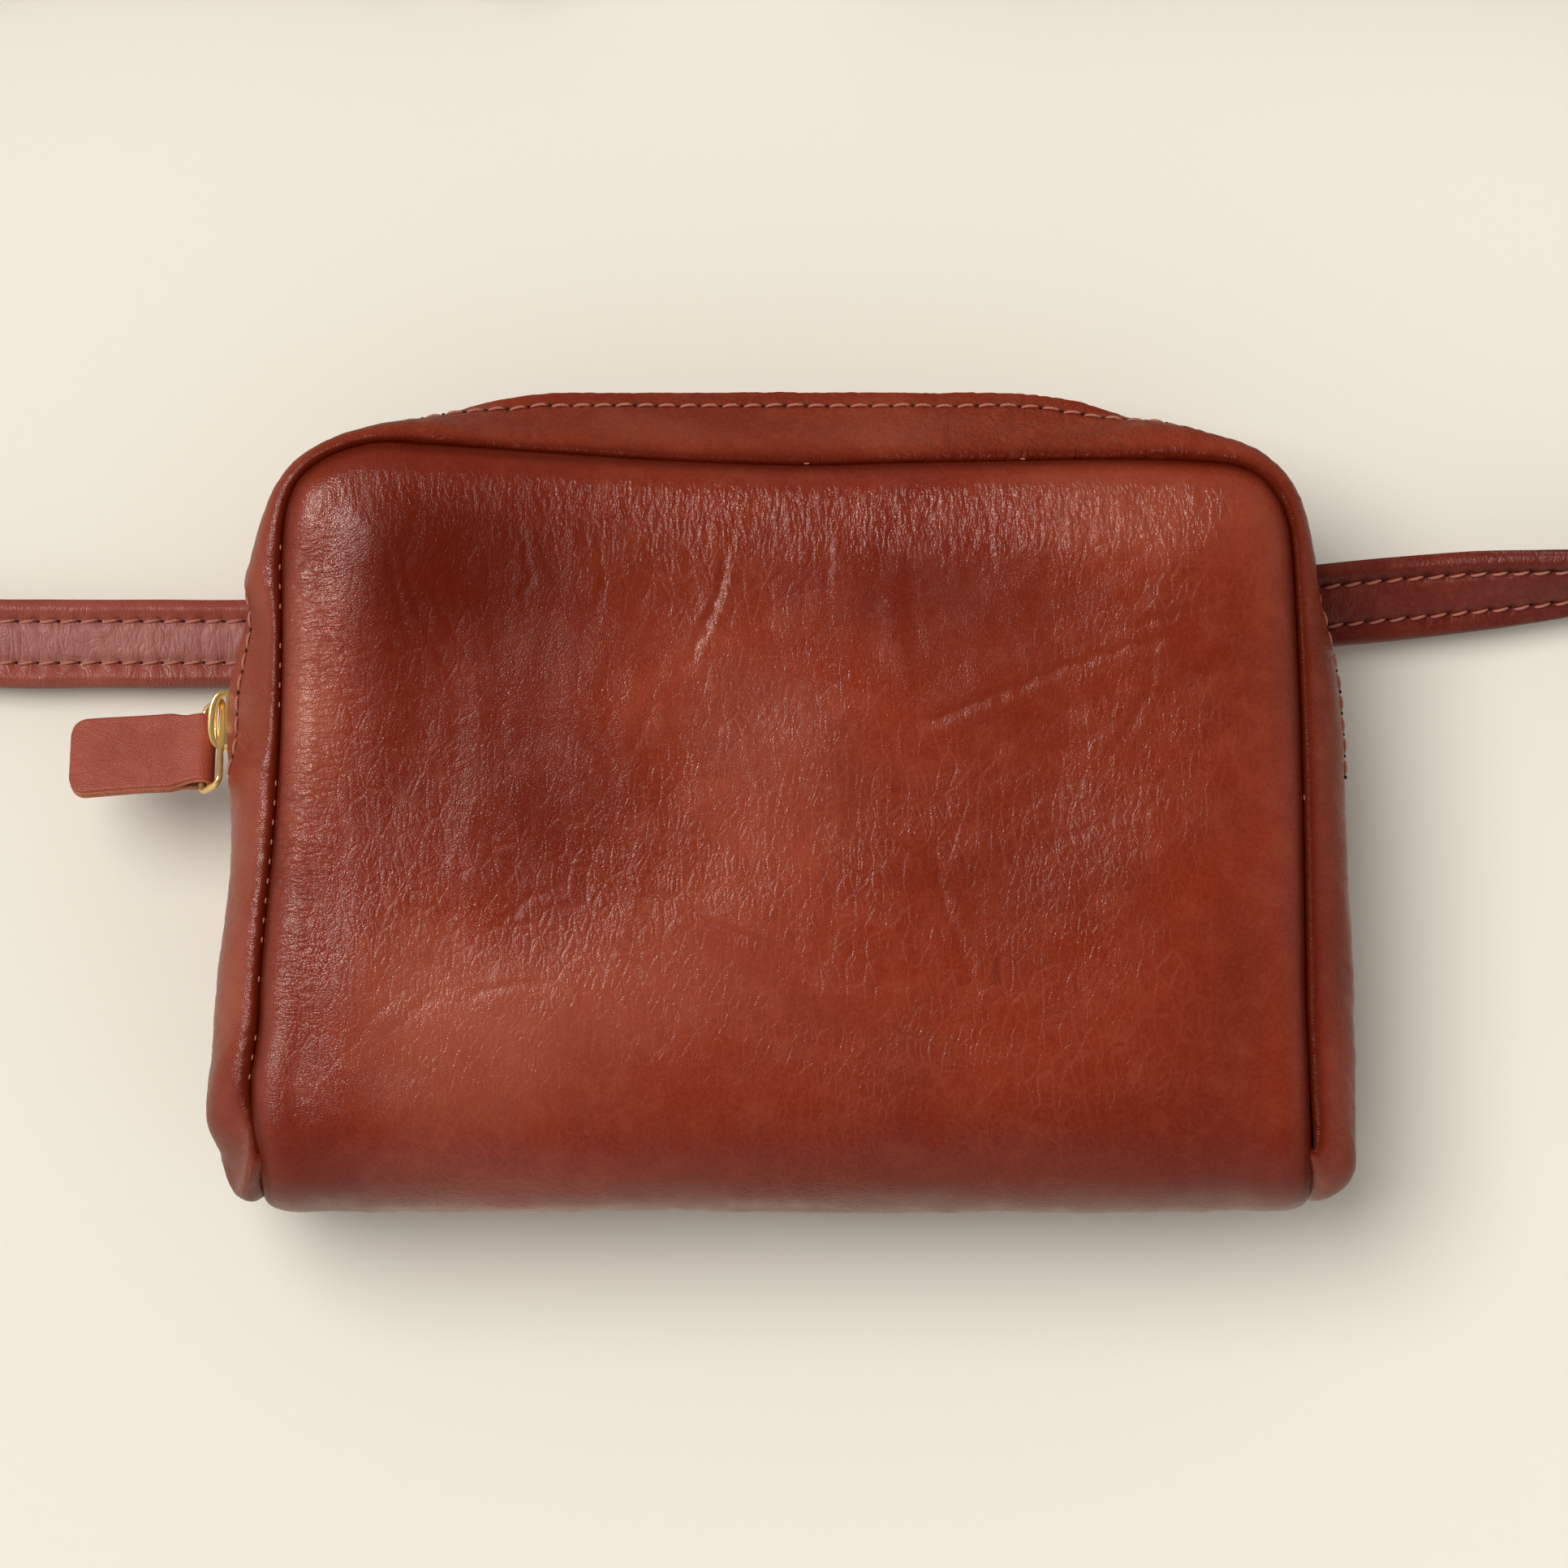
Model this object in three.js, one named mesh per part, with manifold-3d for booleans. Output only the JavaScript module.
// Leather waist pack lying on its back panel, millimetres, +Z up.
// +X is the wearer's left-to-right across the pack, +Y points to the top of the pack,
// +Z out of the front panel. The origin is the centre of the flat back panel's outer face.
// A one-piece wrap (front, bottom and back) is closed at the sides and top by one gusset strip
// with a slot for the zip. A two-part belt is sewn into the back side seams; its halves lie
// unbuckled, turned on edge, beyond the top of the pack.
import * as THREE from "three";
import { mergeVertices } from "three/addons/utils/BufferGeometryUtils.js";
import Module from "manifold-3d";

const wasm = await Module();
wasm.setup();

// ---------- driving dimensions ----------
// pouch
const Z_SEAM_BACK = 4;
const Z_ZIP = 28; // height of the zip's centre plane, where the pouch is widest
const Z_SEAM_FRONT = 50;
const CROWN = 11; // how far the front panel crowns above its seam
const CENTRE_Y = -3; // point both panels shrink towards
const SIDE_SEAM_X = 98.6; // side end of the wrap's bottom, +/- X
const SEAM_GAP = 0.3; // seam line between wrap and gusset
// start and end depth of each layer below the pouch's outer surface
const DEPTHS = {
  leather: [0, 1.8],
  stops: [0.7, 1.9],
  teeth: [0.85, 1.85],
  tape: [2.05, 2.6],
  patch: [2.05, 3.0],
  lining: [3.3, 3.9],
};
const STRAP_ROOT_DEPTH = 3.1; // how deep the strap roots reach into the pouch

// zip
const ZIP_R = 65; // radius of the zip's two shoulders
const ZIP_CX = 40.5; // shoulder centre, +/- X
const ZIP_CY = 12; // shoulder centre, Y
const ZIP_END_Y = 7.5; // lower end of the zip slot on both legs
const SLOT_HALF = 5.5; // half width of the zip slot
const SLIDER_Y = 15; // slider centre, on the left leg

// belt
const STRAP_W = 17;
const STRAP_T = 3.4;
const STRAP_SKIN = 0.9;
const STRAP_CUT_X = 155.5; // where the straps are parted into root and rest, +/- X
const STRAP_CUT_GAP = 1;
const BELT_Y = 171; // far line of the laid-out belt
const BELT_Z = 11.3; // centre height of the belt on edge at the buckle
const BUCKLE_X = -42; // buckle bar
const TIP_X = 12; // end of the punched strap
const HOLE_COUNT = 5;
const HOLE_PITCH = 20;
const FIRST_HOLE_X = 47;
const HOLE_R = 1.6;

// ---------- materials ----------
const material = (color, roughness, metalness) =>
  new THREE.MeshStandardMaterial({ color, roughness, metalness });
const leatherMat = () => material(0x7f2f1c, 0.45, 0);
const strapMat = () => material(0x6f2817, 0.45, 0);
const liningMat = () => material(0xb89a74, 0.9, 0);
const tapeMat = () => material(0x4a2417, 0.85, 0);
const goldMat = () => material(0xd8b25c, 0.2, 1);

// ---------- vectors and plan curves ----------
const vec = (x, y, z) => new THREE.Vector3(x, y, z);
const radians = THREE.MathUtils.degToRad;

// The sum of [vector, factor] terms.
const sum = (...terms) =>
  terms.reduce((total, [vector, factor]) => total.addScaledVector(vector, factor), vec(0, 0, 0));

const mirrorY = ([x, y]) => [x, -y];

// Smooth step from 0 to 1.
const smooth = (value) => {
  const t = Math.min(1, Math.max(0, value));
  return t * t * (3 - 2 * t);
};

// Points of an arc, angles in degrees.
const arc = (cx, cy, r, from, to, steps) =>
  Array.from({ length: steps + 1 }, (_, i) => {
    const angle = ((from + ((to - from) * i) / steps) * Math.PI) / 180;
    return [cx + r * Math.cos(angle), cy + r * Math.sin(angle)];
  });

// A parabola x(y) through three points, in equal steps of y.
function parabola(start, middle, end, steps) {
  const weight = (y, own, a, b) => ((y - a[1]) * (y - b[1])) / ((own[1] - a[1]) * (own[1] - b[1]));
  return Array.from({ length: steps + 1 }, (_, i) => {
    const y = start[1] + ((end[1] - start[1]) * i) / steps;
    const x =
      start[0] * weight(y, start, middle, end) +
      middle[0] * weight(y, middle, start, end) +
      end[0] * weight(y, end, start, middle);
    return [x, y];
  });
}

// ---------- solids from geometries ----------
function solid(geometry) {
  const bare = geometry.clone();
  for (const key of Object.keys(bare.attributes)) if (key !== "position") bare.deleteAttribute(key);
  const merged = mergeVertices(bare, 1e-4);
  return new wasm.Manifold(
    new wasm.Mesh({
      numProp: 3,
      vertProperties: new Float32Array(merged.attributes.position.array),
      triVerts: new Uint32Array(merged.index.array),
    }),
  );
}

function geometryOf(body) {
  const mesh = body.getMesh();
  const g = new THREE.BufferGeometry();
  g.setAttribute("position", new THREE.BufferAttribute(new Float32Array(mesh.vertProperties), 3));
  g.setIndex(new THREE.BufferAttribute(new Uint32Array(mesh.triVerts), 1));
  g.computeVertexNormals();
  return g;
}

function indexedGeometry(positions, index) {
  const g = new THREE.BufferGeometry();
  g.setAttribute("position", new THREE.Float32BufferAttribute(positions, 3));
  g.setIndex(index);
  return g;
}

function box(x0, x1, y0, y1, z0, z1) {
  const g = new THREE.BoxGeometry(x1 - x0, y1 - y0, z1 - z0);
  g.translate((x0 + x1) / 2, (y0 + y1) / 2, (z0 + z1) / 2);
  return solid(g);
}

// A prism from a closed outline of [a, b] pairs, with an optional hole, extruded along Z.
// axes, when given, are the directions that a, b and the extrusion are turned to.
function prism(outline, z0, z1, { hole, axes } = {}) {
  const points = (list) => list.map(([a, b]) => new THREE.Vector2(a, b));
  const shape = new THREE.Shape(points(outline));
  if (hole) shape.holes.push(new THREE.Path(points(hole)));
  const g = new THREE.ExtrudeGeometry(shape, { depth: z1 - z0, bevelEnabled: false });
  g.translate(0, 0, z0);
  if (axes) g.applyMatrix4(new THREE.Matrix4().makeBasis(...axes));
  return solid(g);
}

// Where a cut leaves slivers as well as the piece, the piece is the largest body.
const largest = (body) => body.decompose().sort((a, b) => b.volume() - a.volume())[0];

const part = new THREE.Group();
function addGeometry(name, geometry, mat, parent = part) {
  const mesh = new THREE.Mesh(geometry, mat);
  mesh.name = name;
  parent.add(mesh);
}
const add = (name, body, mat, parent) => addGeometry(name, geometryOf(body), mat, parent);
const addLargest = (name, body, mat) => add(name, largest(body), mat);

// ---------- plan outlines of the pouch ----------
// Each outline is its right half from the bottom centre to the top centre, the left half
// mirrors it.
const ZIP_CORNER = { x: 97.6, y: -69, r: 9 };
const zipOutline = [
  [0, ZIP_CORNER.y - ZIP_CORNER.r],
  ...arc(ZIP_CORNER.x, ZIP_CORNER.y, ZIP_CORNER.r, -90, -6, 12),
  ...parabola([106.9, -66], [107.5, -40], [ZIP_CX + ZIP_R, ZIP_CY], 60),
  ...arc(ZIP_CX, ZIP_CY, ZIP_R, 0, 90, 160),
  [0, ZIP_CY + ZIP_R],
];
const SEAM_CORNER = { y: -65.5, r: 4.5 };
const SEAM_SHOULDER = { x: 79, y: 49.5, r: 15 };
const seamOutline = [
  [0, SEAM_CORNER.y - SEAM_CORNER.r],
  ...arc(SIDE_SEAM_X - SEAM_CORNER.r, SEAM_CORNER.y, SEAM_CORNER.r, -90, 0, 6),
  ...parabola(
    [SIDE_SEAM_X, -60],
    [96.6, 0],
    [SEAM_SHOULDER.x + SEAM_SHOULDER.r, SEAM_SHOULDER.y],
    40,
  ),
  ...arc(SEAM_SHOULDER.x, SEAM_SHOULDER.y, SEAM_SHOULDER.r, 0, 90, 40),
  [0, SEAM_SHOULDER.y + SEAM_SHOULDER.r],
];

// Shares of the half outline's length at which it is sampled, close together round the
// shoulder: [from, to, samples]
const SAMPLE_RUNS = [
  [0, 0.285, 4],
  [0.285, 0.34, 3],
  [0.34, 0.58, 5],
  [0.58, 0.86, 16],
  [0.86, 1, 3],
];
const shares = SAMPLE_RUNS.flatMap(([from, to, count]) =>
  Array.from({ length: count }, (_, i) => from + ((to - from) * i) / count),
);
shares.push(1);

// The whole outline at those shares, counter-clockwise from above.
function sampleOutline(half) {
  const points = half.map(([x, y]) => new THREE.Vector2(x, y));
  const runs = [0]; // length along the outline up to each point
  for (let i = 1; i < points.length; i++) {
    runs.push(runs[i - 1] + points[i].distanceTo(points[i - 1]));
  }
  const total = runs[runs.length - 1];
  const right = shares.map((share) => {
    const run = share * total;
    let i = 1;
    while (i < runs.length - 1 && runs[i] < run) i++;
    const t = (run - runs[i - 1]) / Math.max(1e-9, runs[i] - runs[i - 1]);
    const before = points[i - 1];
    return [before.x + (points[i].x - before.x) * t, before.y + (points[i].y - before.y) * t];
  });
  const left = right
    .slice(1, -1)
    .reverse()
    .map(([x, y]) => [-x, y]);
  return [...right, ...left];
}
const zipPlan = sampleOutline(zipOutline);
const seamPlan = sampleOutline(seamOutline);
const RING_SIZE = seamPlan.length;

// ---------- pouch surface ----------
const BACK_RING_ZS = [Z_SEAM_BACK, 7, 11, 16, 22, Z_ZIP];
const FRONT_RING_ZS = [34, 40, 45, 48, Z_SEAM_FRONT];
// Rings on the front panel: [scale of the seam outline, share of the crown's height]
const CROWN_RINGS = [
  [0.975, 0.33],
  [0.93, 0.56],
  [0.82, 0.78],
  [0.62, 0.93],
  [0.34, 0.985],
];

// A ring of the gusset: it bulges from a seam to the zip outline on a quarter ellipse.
function gussetRing(z, seamZ) {
  const bulge = Math.sqrt(1 - ((z - Z_ZIP) / (seamZ - Z_ZIP)) ** 2);
  return seamPlan.map(([x, y], i) =>
    vec(x + (zipPlan[i][0] - x) * bulge, y + (zipPlan[i][1] - y) * bulge, z),
  );
}
// A ring of the front or back panel: the seam outline scaled towards the panel's centre.
const panelRing = (scale, z) =>
  seamPlan.map(([x, y]) => vec(x * scale, (y - CENTRE_Y) * scale + CENTRE_Y, z));

// Rings from the back face to the front crown.
const RINGS = [
  panelRing(0.955, 0),
  panelRing(0.985, 1.2),
  ...BACK_RING_ZS.map((z) => gussetRing(z, Z_SEAM_BACK)),
  ...FRONT_RING_ZS.map((z) => gussetRing(z, Z_SEAM_FRONT)),
  ...CROWN_RINGS.map(([scale, share]) => panelRing(scale, Z_SEAM_FRONT + CROWN * share)),
];

// Least heights of the second ring and of those above it over the inset back face.
const SECOND_RING_RISE = 0.35;
const UPPER_RING_RISE = 0.7;

// Moves the pouch's vertices inwards along their normals; the back face stays flat.
function insetVertices(g, depth, backCentre) {
  const { position, normal } = g.attributes;
  for (let i = 0; i < position.count; i++) {
    const nx = normal.getX(i);
    const ny = normal.getY(i);
    const onBack = i < RING_SIZE || i === backCentre;
    const inPlan = onBack || i < 2 * RING_SIZE;
    const length = inPlan ? Math.hypot(nx, ny) || 1 : 1;
    const move = i === backCentre ? 0 : depth;
    let z = position.getZ(i);
    if (onBack) z = depth;
    else if (inPlan) z = Math.max(z, depth + SECOND_RING_RISE);
    else z = Math.max(z - normal.getZ(i) * depth, depth + UPPER_RING_RISE);
    const x = position.getX(i) - (nx / length) * move;
    const y = position.getY(i) - (ny / length) * move;
    position.setXYZ(i, x, y, z);
  }
}

// The closed pouch, its surface moved inwards by depth.
function pouch(depth) {
  const positions = RINGS.flat().flatMap((p) => [p.x, p.y, p.z]);
  const backCentre = RINGS.length * RING_SIZE;
  const frontCentre = backCentre + 1;
  positions.push(0, CENTRE_Y, 0, 0, CENTRE_Y, Z_SEAM_FRONT + CROWN);
  const index = [];
  for (let k = 0; k < RINGS.length - 1; k++)
    for (let i = 0; i < RING_SIZE; i++) {
      const low = k * RING_SIZE + i;
      const lowNext = k * RING_SIZE + ((i + 1) % RING_SIZE);
      const high = low + RING_SIZE;
      const highNext = lowNext + RING_SIZE;
      index.push(low, lowNext, highNext, low, highNext, high);
    }
  const lastRing = (RINGS.length - 1) * RING_SIZE;
  for (let i = 0; i < RING_SIZE; i++) {
    const next = (i + 1) % RING_SIZE;
    index.push(backCentre, next, i);
    index.push(frontCentre, lastRing + i, lastRing + next);
  }
  const g = indexedGeometry(positions, index);
  g.computeVertexNormals();
  insetVertices(g, depth, backCentre);
  return solid(g);
}
const shell = ([from, to]) => pouch(from).subtract(pouch(to));

// ---------- straps ----------
const STATION_STEP = 9; // along the curved path
const BELT_STEP = 24; // along the straight far line
const ON_EDGE_RUN = 130; // length from the root beyond which a strap stands fully on edge
const SETTLE_RUN = 150; // further length over which it reaches the buckle's height
const TWIST_END_X = 202;
const ROOT_STATIONS = 8; // stations of the strap that cut its passage through the pouch
const PASSAGE_CLEARANCE = 0.3;

// side is the sign of X. path is the plan [x, y]; the strap goes on along BELT_Y to endX.
// lean is the share of a quarter turn already made at the root, twistX is where the rest
// starts. The centre rises from rootZ by rise, as riseShare(turn, run) says.
const LEFT_STRAP = {
  name: "strap_left",
  side: -1,
  path: [
    [-84, 30], [-105, 30], [-130, 30], [-155, 30.2], [-184, 33], [-208, 45], [-223, 68],
    [-226, 98], [-215, 131], [-191, 156], [-158, 169], [-120, BELT_Y],
  ],
  endX: BUCKLE_X - 6,
  lean: 0,
  twistX: 158,
  rootZ: 6,
  rise: 3.5,
  riseShare: (turn) => turn,
  holes: [],
};
const RIGHT_STRAP = {
  name: "strap_right",
  side: 1,
  path: [
    [84, 35.2], [105, 37.3], [130, 39.7], [155, 42], [186, 47], [209, 60], [223, 82],
    [226, 108], [215, 137], [191, 158.5], [158, 169.5], [120, BELT_Y],
  ],
  endX: TIP_X,
  lean: 0.22,
  twistX: 115,
  rootZ: 7.9,
  rise: 3.6,
  riseShare: (_, run) => smooth((run - 10) / 80),
  holes: Array.from({ length: HOLE_COUNT }, (_, i) => FIRST_HOLE_X + HOLE_PITCH * i),
};

// Points and tangents of a strap's path in plan, from root to tip.
function planPath({ side, path, endX }) {
  const curve = new THREE.CatmullRomCurve3(
    path.map(([x, y]) => vec(x, y, 0)),
    false,
    "centripetal",
  );
  const steps = Math.round(curve.getLength() / STATION_STEP);
  const plan = [];
  for (let i = 0; i <= steps; i++) {
    plan.push({ point: curve.getPointAt(i / steps), tangent: curve.getTangentAt(i / steps) });
  }
  const bendX = plan[steps].point.x;
  const beltSteps = Math.round(Math.abs(endX - bendX) / BELT_STEP);
  for (let i = 1; i <= beltSteps; i++) {
    const x = bendX + ((endX - bendX) * i) / beltSteps;
    plan.push({ point: vec(x, BELT_Y, 0), tangent: vec(-side, 0, 0) });
  }
  return plan;
}

// Stations {centre, width, face}; width and face are unit vectors across the path.
function strapStations(strap) {
  const { side, lean, twistX, rootZ, rise, riseShare } = strap;
  const up = vec(0, 0, 1);
  let run = 0;
  return planPath(strap).map(({ point, tangent }, i, plan) => {
    if (i) run += point.distanceTo(plan[i - 1].point);
    const twist = smooth((Math.abs(point.x) - twistX) / (TWIST_END_X - twistX));
    const turn = run > ON_EDGE_RUN ? 1 : lean + (1 - lean) * twist;
    const settle = smooth((run - ON_EDGE_RUN) / SETTLE_RUN);
    const z = rootZ + rise * riseShare(turn, run) + (BELT_Z - rootZ - rise) * settle;
    // flat: width across the path, face up; on edge: width up, face outwards from the loop
    const across = vec(-tangent.y, tangent.x, 0).multiplyScalar(side); // +Y at the root
    const cos = Math.cos((turn * Math.PI) / 2);
    const sin = Math.sin((turn * Math.PI) / 2);
    return {
      centre: vec(point.x, point.y, z),
      // the sign keeps (path, width, face) right-handed
      width: sum([across, cos], [up, sin]).multiplyScalar(side),
      face: sum([up, cos], [across, -sin]),
    };
  });
}

// The same stations with the first and last one moved along X.
function moveEnds(stations, rootMove, tipMove) {
  const moved = stations.map((s) => ({ ...s, centre: s.centre.clone() }));
  moved[0].centre.x += rootMove;
  moved[moved.length - 1].centre.x += tipMove;
  return moved;
}

// A rectangular section swept through the stations.
function strip(stations, halfW, halfT) {
  const spans = stations.length - 1;
  const g = new THREE.BoxGeometry(spans, 1, 1, spans, 1, 1);
  const position = g.attributes.position;
  for (let i = 0; i < position.count; i++) {
    const { centre, width, face } = stations[Math.round(position.getX(i) + spans / 2)];
    const across = position.getY(i) * 2 * halfW;
    const out = position.getZ(i) * 2 * halfT;
    const p = sum([centre, 1], [width, across], [face, out]);
    position.setXYZ(i, p.x, p.y, p.z);
  }
  return solid(g);
}

function beltHole(x) {
  const g = new THREE.CylinderGeometry(HOLE_R, HOLE_R, 12, 14);
  g.translate(x, BELT_Y, BELT_Z);
  return solid(g);
}

// A cutting box on one side of the pack; near and far are distances from the YZ plane.
const sideBox = (side, near, far, y0, y1) =>
  box(Math.min(side * near, side * far), Math.max(side * near, side * far), y0, y1, -5, 40);

const strapRootLimit = pouch(STRAP_ROOT_DEPTH);

// A strap is a leather skin round a core, parted near the root.
function buildStrap(strap) {
  const { side } = strap;
  const stations = strapStations(strap);
  const innerStations = moveEnds(stations, -side * 2, side * 3); // skin open at its root end
  const coreStations = moveEnds(innerStations, side * 2.4, side * 0.4);
  const innerHalfW = STRAP_W / 2 - STRAP_SKIN;
  const innerHalfT = STRAP_T / 2 - STRAP_SKIN;
  const inner = strip(innerStations, innerHalfW, innerHalfT);
  let skin = strip(stations, STRAP_W / 2, STRAP_T / 2).subtract(inner);
  let core = strip(coreStations, innerHalfW - 0.2, innerHalfT - 0.15);
  for (const x of strap.holes) {
    const hole = beltHole(x);
    skin = skin.subtract(hole);
    core = core.subtract(hole);
  }
  const rootBox = sideBox(side, 0, STRAP_CUT_X, -50, 100);
  const restBox = sideBox(side, STRAP_CUT_X + STRAP_CUT_GAP, 400, -50, 300).add(
    sideBox(side, -40, 400, 100, 300),
  );
  return {
    name: strap.name,
    rootSkin: skin.intersect(rootBox).subtract(strapRootLimit),
    rootCore: core.intersect(rootBox).subtract(strapRootLimit),
    skin: skin.intersect(restBox),
    core: core.intersect(restBox),
    passage: strip(
      stations.slice(0, ROOT_STATIONS),
      STRAP_W / 2 + PASSAGE_CLEARANCE,
      STRAP_T / 2 + PASSAGE_CLEARANCE,
    ),
  };
}
const straps = [LEFT_STRAP, RIGHT_STRAP].map(buildStrap);
const passages = straps[0].passage.add(straps[1].passage);

// ---------- wrap, gusset and lining ----------
const REACH = 150; // beyond the pouch in X and Y

// A cutting slab right across the pack, from y0 upwards along Y.
const slab = (y0, z0, z1) => box(-REACH, REACH, y0, REACH, z0, z1);

// The wrap is everything above the front seam, below the back seam and round the bottom
// between the side seams.
const wrapRegion = (grow) =>
  slab(-REACH, Z_SEAM_FRONT - grow, 90)
    .add(slab(-REACH, -5, Z_SEAM_BACK + grow))
    .add(box(-SIDE_SEAM_X - grow, SIDE_SEAM_X + grow, -REACH, -60, -5, 90));

const zipSlot = (margin) =>
  slab(ZIP_END_Y - margin, Z_ZIP - SLOT_HALF - margin, Z_ZIP + SLOT_HALF + margin);

const leather = shell(DEPTHS.leather);
const wrap = leather.intersect(wrapRegion(0)).subtract(passages);
const gusset = leather.subtract(wrapRegion(SEAM_GAP)).subtract(zipSlot(0)).subtract(passages);
addLargest("body_wrap", wrap, leatherMat());
addLargest("gusset", gusset, leatherMat());
addLargest("lining", shell(DEPTHS.lining).subtract(zipSlot(1)), liningMat());

// ---------- zip tapes, teeth and stops ----------
const ZIP_HALVES = [["front", 1], ["back", -1]]; // [name, sign of Z from the zip's centre plane]

// A cutting box on one side of the zip's centre plane, from near to far of it.
function zipBox(sign, [near, far], x0, x1, y0, y1) {
  const [z0, z1] = sign > 0 ? [near, far] : [-far, -near];
  return box(x0, x1, y0, y1, Z_ZIP + z0, Z_ZIP + z1);
}

const tapeShell = shell(DEPTHS.tape);
for (const [half, sign] of ZIP_HALVES) {
  const region = zipBox(sign, [0.8, 12.5], -REACH, REACH, ZIP_END_Y - 8, REACH);
  addLargest(`zip_tape_${half}`, tapeShell.intersect(region).subtract(passages), tapeMat());
}

// Each row of teeth is one solid band.
const teethShell = shell(DEPTHS.teeth);
for (const [half, sign] of ZIP_HALVES) {
  const region = zipBox(sign, [0.7, 2.9], -REACH, REACH, ZIP_END_Y + 2.4, REACH);
  addLargest(`zip_teeth_${half}`, teethShell.intersect(region), goldMat());
}

// Two top stops at the left end, one bottom stop at the right end.
const stopShell = shell(DEPTHS.stops);
for (const [half, sign] of ZIP_HALVES) {
  const region = zipBox(sign, [0.7, 3.3], -REACH, 0, ZIP_END_Y + 0.5, ZIP_END_Y + 2.1);
  addLargest(`zip_top_stop_${half}`, stopShell.intersect(region), goldMat());
}
const bottomStopRegion = zipBox(1, [-3.4, 3.4], 0, REACH, ZIP_END_Y + 0.4, ZIP_END_Y + 2.1);
addLargest("zip_bottom_stop", stopShell.intersect(bottomStopRegion), goldMat());

// ---------- patches that back the strap seams, between leather and lining ----------
const patchShell = shell(DEPTHS.patch);
const patch = (x, y) => patchShell.intersect(box(x, x + 27, y, y + 26, 0, 9)).subtract(passages);
addLargest("strap_patch_left", patch(-99, 17), leatherMat());
addLargest("strap_patch_right", patch(72, 24), leatherMat());

for (const { name, rootSkin, rootCore, skin, core } of straps) {
  addLargest(`${name}_root`, rootSkin, strapMat());
  addLargest(`${name}_root_core`, rootCore, tapeMat());
  addLargest(name, skin, strapMat());
  addLargest(`${name}_core`, core, tapeMat());
}

// ---------- slider ----------
// Its frame sits on the zip: x outwards, y along the travel (clockwise from above), z down.
const sliderAngle = Math.PI - Math.asin((SLIDER_Y - ZIP_CY) / ZIP_R);
const sliderOut = vec(Math.cos(sliderAngle), Math.sin(sliderAngle), 0);
const sliderTravel = vec(sliderOut.y, -sliderOut.x, 0);
const slider = new THREE.Group();
slider.position.copy(vec(-ZIP_CX, ZIP_CY, Z_ZIP).addScaledVector(sliderOut, ZIP_R));
slider.setRotationFromMatrix(
  new THREE.Matrix4().makeBasis(sliderOut, sliderTravel, vec(0, 0, -1)),
);
part.add(slider);

// Plate outline [y, z]: broad shoulders towards -y with a notch, narrow tail towards +y.
const plateEdge = [
  [-5.4, -2.6], [-4.6, -4.3], [-2.4, -4.75], [2.2, -3.9], [5.2, -3.5], [5.75, -2.6],
];
const platePlan = [...plateEdge, ...plateEdge.map(mirrorY).reverse(), [-4.6, 0]];
const plate = (x0, x1) =>
  prism(platePlan, x0, x1, { axes: [vec(0, 1, 0), vec(0, 0, 1), vec(1, 0, 0)] });

// Two plates, the inner one inside the tape, joined by a post between the rows of teeth;
// a flange under each long edge of the outer plate.
function sliderBody() {
  const post = box(-3.6, -0.4, -4.4, -1.6, -0.4, 0.4);
  return plate(-0.55, 0.5)
    .add(plate(-4.35, -3.35))
    .add(post)
    .add(box(-1.35, -0.4, -1.8, 5.0, 3.25, 3.75))
    .add(box(-1.35, -0.4, -1.8, 5.0, -3.75, -3.25));
}
add("zip_slider_body", sliderBody(), goldMat(), slider);

// Half of a superellipse in [x, y], standing on the outer plate.
function bridgeArch(height, halfLength, heightPower) {
  const signedPower = (value, power) => Math.sign(value) * Math.abs(value) ** power;
  return Array.from({ length: 15 }, (_, i) => {
    const angle = (Math.PI * i) / 14;
    return [
      0.6 + height * signedPower(Math.sin(angle), heightPower),
      halfLength * signedPower(Math.cos(angle), 0.8),
    ];
  });
}
const bridgeOutline = [...bridgeArch(2.8, 5.6, 0.62), ...bridgeArch(1.65, 4.1, 0.5).reverse()];
add("zip_slider_bridge", prism(bridgeOutline, -1.1, 1.1), goldMat(), slider);

// ---------- rounded rectangles of round wire ----------
// Centred on centre, length along a, width along b; radius is the wire's.
function wireRectangle({ centre, a, b, length, width, corner, radius }) {
  const points = [[1, 1], [-1, 1], [-1, -1], [1, -1]].flatMap(([signA, signB], quarter) =>
    arc(0, 0, corner, 90 * quarter, 90 * (quarter + 1), 4).map(([alongA, alongB]) =>
      sum(
        [centre, 1],
        [a, signA * (length / 2 - corner) + alongA],
        [b, signB * (width / 2 - corner) + alongB],
      ),
    ),
  );
  const normal = vec(0, 0, 0).crossVectors(a, b);
  const count = points.length;
  const sides = 10;
  const positions = [];
  const index = [];
  points.forEach((point, i) => {
    const next = (i + 1) % count;
    const tangent = points[next].clone().sub(points[(i + count - 1) % count]).normalize();
    const out = vec(0, 0, 0).crossVectors(tangent, normal).normalize();
    for (let k = 0; k < sides; k++) {
      const angle = (2 * Math.PI * k) / sides;
      const p = sum([point, 1], [out, radius * Math.cos(angle)], [normal, radius * Math.sin(angle)]);
      positions.push(p.x, p.y, p.z);
      const here = i * sides + k;
      const hereTurned = i * sides + ((k + 1) % sides);
      const ahead = next * sides + k;
      const aheadTurned = next * sides + ((k + 1) % sides);
      index.push(here, ahead, aheadTurned, here, aheadTurned, hereTurned);
    }
  });
  return indexedGeometry(positions, index);
}

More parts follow.
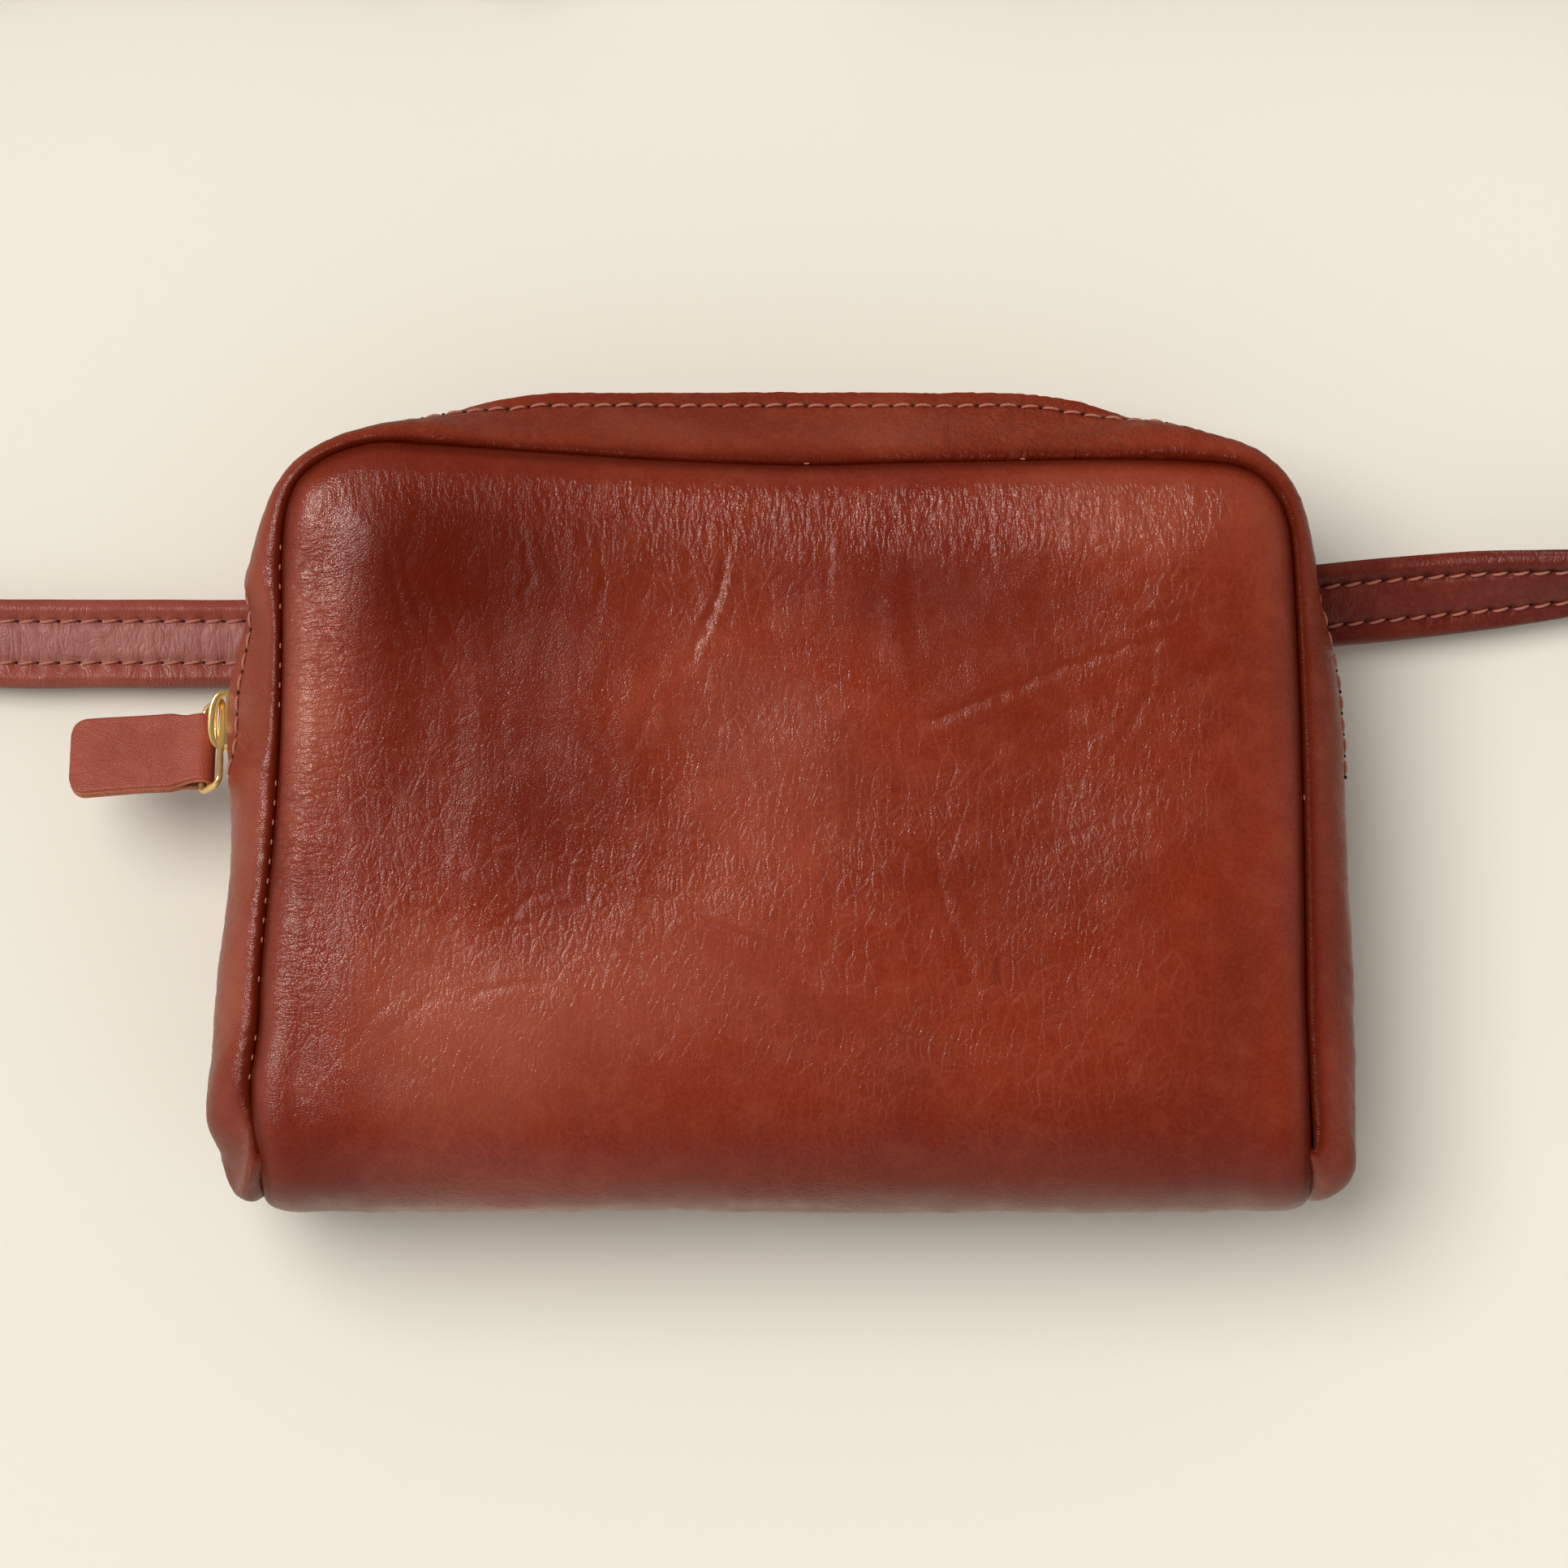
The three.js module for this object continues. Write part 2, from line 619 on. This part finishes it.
// ---------- pull ring, in the pack's frame ----------
const RING_L = 18;
const RING_W = 5.8;
const RING_SHIFT = 4.6; // ring centre from the bridge, along the ring's long side
const RING_TILT = radians(28);
const RING_HANG = radians(50);
const outLeft = vec(-1, 0, 0);
const ringAlong = vec(0, Math.cos(RING_TILT), -Math.sin(RING_TILT)); // long side
const ringDown = vec(0, -Math.sin(RING_TILT), -Math.cos(RING_TILT));
const ringAcross = sum([outLeft, Math.cos(RING_HANG)], [ringDown, Math.sin(RING_HANG)]);
// middle of the ring's inner long side, and of its outer one
const innerBar = sum(
  [slider.position, 1],
  [sliderOut, 1.4],
  [vec(0, 0.2, 0), 1],
  [ringAlong, -RING_SHIFT],
);
const outerBar = sum([innerBar, 1], [ringAcross, RING_W]);
const pullRing = wireRectangle({
  centre: sum([innerBar, 1], [ringAcross, RING_W / 2]),
  a: ringAlong,
  b: ringAcross,
  length: RING_L,
  width: RING_W,
  corner: 1.6,
  radius: 0.62,
});
addGeometry("pull_ring", pullRing, goldMat());

// ---------- pull tab ----------
// One strip folded round the ring's outer bar, its two layers glued face to face beyond the fold.
const TAB_DROOP = radians(7.5);
const TAB_LAYER = 1.45;
const TAB_LEN = 25.5;
const TAB_W = 16;
const TAB_CORNER = 3;
const FOLD_W = 14.4;
const FOLD_IN = 1.0; // inner radius of the fold
const FOLD_END = 4.2; // where the flat layers start

function pullTab() {
  // side profile [along the tab, across its faces]
  const profile = [
    ...arc(0, 0, FOLD_IN + TAB_LAYER, 50, 310, 14),
    [FOLD_END, -TAB_LAYER],
    [TAB_LEN, -TAB_LAYER],
    [TAB_LEN, TAB_LAYER],
    [FOLD_END, TAB_LAYER],
  ];
  const foldHole = [...arc(0, 0, FOLD_IN, 60, 300, 12), [2.6, 0]];
  // plan [along the tab, along its width]: fold end narrower, free end with round corners
  const edge = [
    [-4, -FOLD_W / 2],
    [2.5, -FOLD_W / 2],
    [6, -TAB_W / 2],
    ...arc(TAB_LEN - TAB_CORNER, -TAB_W / 2 + TAB_CORNER, TAB_CORNER, -90, 0, 5),
  ];
  const plan = [...edge, ...edge.map(mirrorY).reverse()];
  const folded = prism(profile, -TAB_W / 2, TAB_W / 2, { hole: foldHole });
  const trim = prism(plan, -6, 6, { axes: [vec(1, 0, 0), vec(0, 0, 1), vec(0, -1, 0)] });
  const g = geometryOf(folded.intersect(trim));

  const tabAlong = sum([outLeft, Math.cos(TAB_DROOP)], [ringDown, Math.sin(TAB_DROOP)]);
  const tabUp = vec(0, 0, 0).crossVectors(ringAlong, tabAlong).normalize();
  const tabAcross = vec(0, 0, 0).crossVectors(tabAlong, tabUp);
  g.applyMatrix4(new THREE.Matrix4().makeBasis(tabAlong, tabUp, tabAcross));
  g.translate(outerBar.x, outerBar.y, outerBar.z);
  return g;
}
addGeometry("pull_tab", pullTab(), strapMat());

// ---------- buckle on the left strap's end, strap on edge: width along Z, faces +/-Y ----------
const BUCKLE_L = 22;
const BUCKLE_HALF_W = 9.9;
const RAIL_X = BUCKLE_X + BUCKLE_L; // far rail of the frame

const buckleFrame = wireRectangle({
  centre: vec(BUCKLE_X + BUCKLE_L / 2, BELT_Y, BELT_Z),
  a: vec(1, 0, 0),
  b: vec(0, 0, 1),
  length: BUCKLE_L,
  width: 2 * BUCKLE_HALF_W,
  corner: 1.8,
  radius: 1.1,
});
addGeometry("buckle_frame", buckleFrame, goldMat());

// An eye round the bar and a tapered tongue that rests on the far rail.
function buckleProng() {
  const sweep = 342; // 19 steps of 18 degrees; closing the outline makes the 20th
  const eye = prism(arc(BUCKLE_X, BELT_Y, 2.55, 0, sweep, 19), BELT_Z - 1, BELT_Z + 1, {
    hole: arc(BUCKLE_X, BELT_Y, 1.3, 0, -sweep, 19),
  });
  // [x, y from the belt's centre line]
  const tongue = [
    [BUCKLE_X + 1.9, 0.1],
    [BUCKLE_X + 8, 0.35],
    [RAIL_X - 3, 1.15],
    [RAIL_X + 1.4, 1.35],
    [RAIL_X + 1.8, 1.9],
    [RAIL_X + 0.8, 2.7],
    [RAIL_X - 3, 2.8],
    [BUCKLE_X + 8, 2.3],
    [BUCKLE_X + 1.6, 2.1],
  ].map(([x, y]) => [x, BELT_Y + y]);
  return eye.add(prism(tongue, BELT_Z - 0.9, BELT_Z + 0.9));
}
add("buckle_prong", buckleProng(), goldMat());

// Leather folded round the bar, one leg on each face of the strap end, slotted for the prong.
function buckleChape() {
  const inner = 1.95;
  const outer = inner + 1.2;
  const legEnd = BUCKLE_X - 30;
  const outline = [
    ...arc(BUCKLE_X, BELT_Y, outer, -90, 90, 12),
    [legEnd, BELT_Y + outer],
    [legEnd, BELT_Y + inner],
    ...arc(BUCKLE_X, BELT_Y, inner, 90, -90, 12),
    [legEnd, BELT_Y - inner],
    [legEnd, BELT_Y - outer],
  ];
  const prongSlot = box(
    BUCKLE_X - 6.5, BUCKLE_X + 4, BELT_Y - 6, BELT_Y + 6, BELT_Z - 1.6, BELT_Z + 1.6,
  );
  return prism(outline, BELT_Z - 7.6, BELT_Z + 7.6).subtract(prongSlot);
}
add("buckle_chape", buckleChape(), strapMat());

// A leather band round the strap; y0 and y1 bound its opening, which has room for the
// punched strap on the +Y face.
function keeper(x, y0, y1) {
  const halfOpening = 9.0;
  const wall = 1.1;
  const halfOuter = halfOpening + wall;
  return box(
    x - 3.5, x + 3.5, y0 - wall, y1 + wall, BELT_Z - halfOuter, BELT_Z + halfOuter,
  ).subtract(box(x - 5, x + 5, y0, y1, BELT_Z - halfOpening, BELT_Z + halfOpening));
}
add("keeper_fixed", keeper(BUCKLE_X - 16, BELT_Y - 3.5, BELT_Y + 7.1), strapMat());
add("keeper_sliding", keeper(BUCKLE_X - 46, BELT_Y - 2.1, BELT_Y + 5.9), strapMat());

export default part;
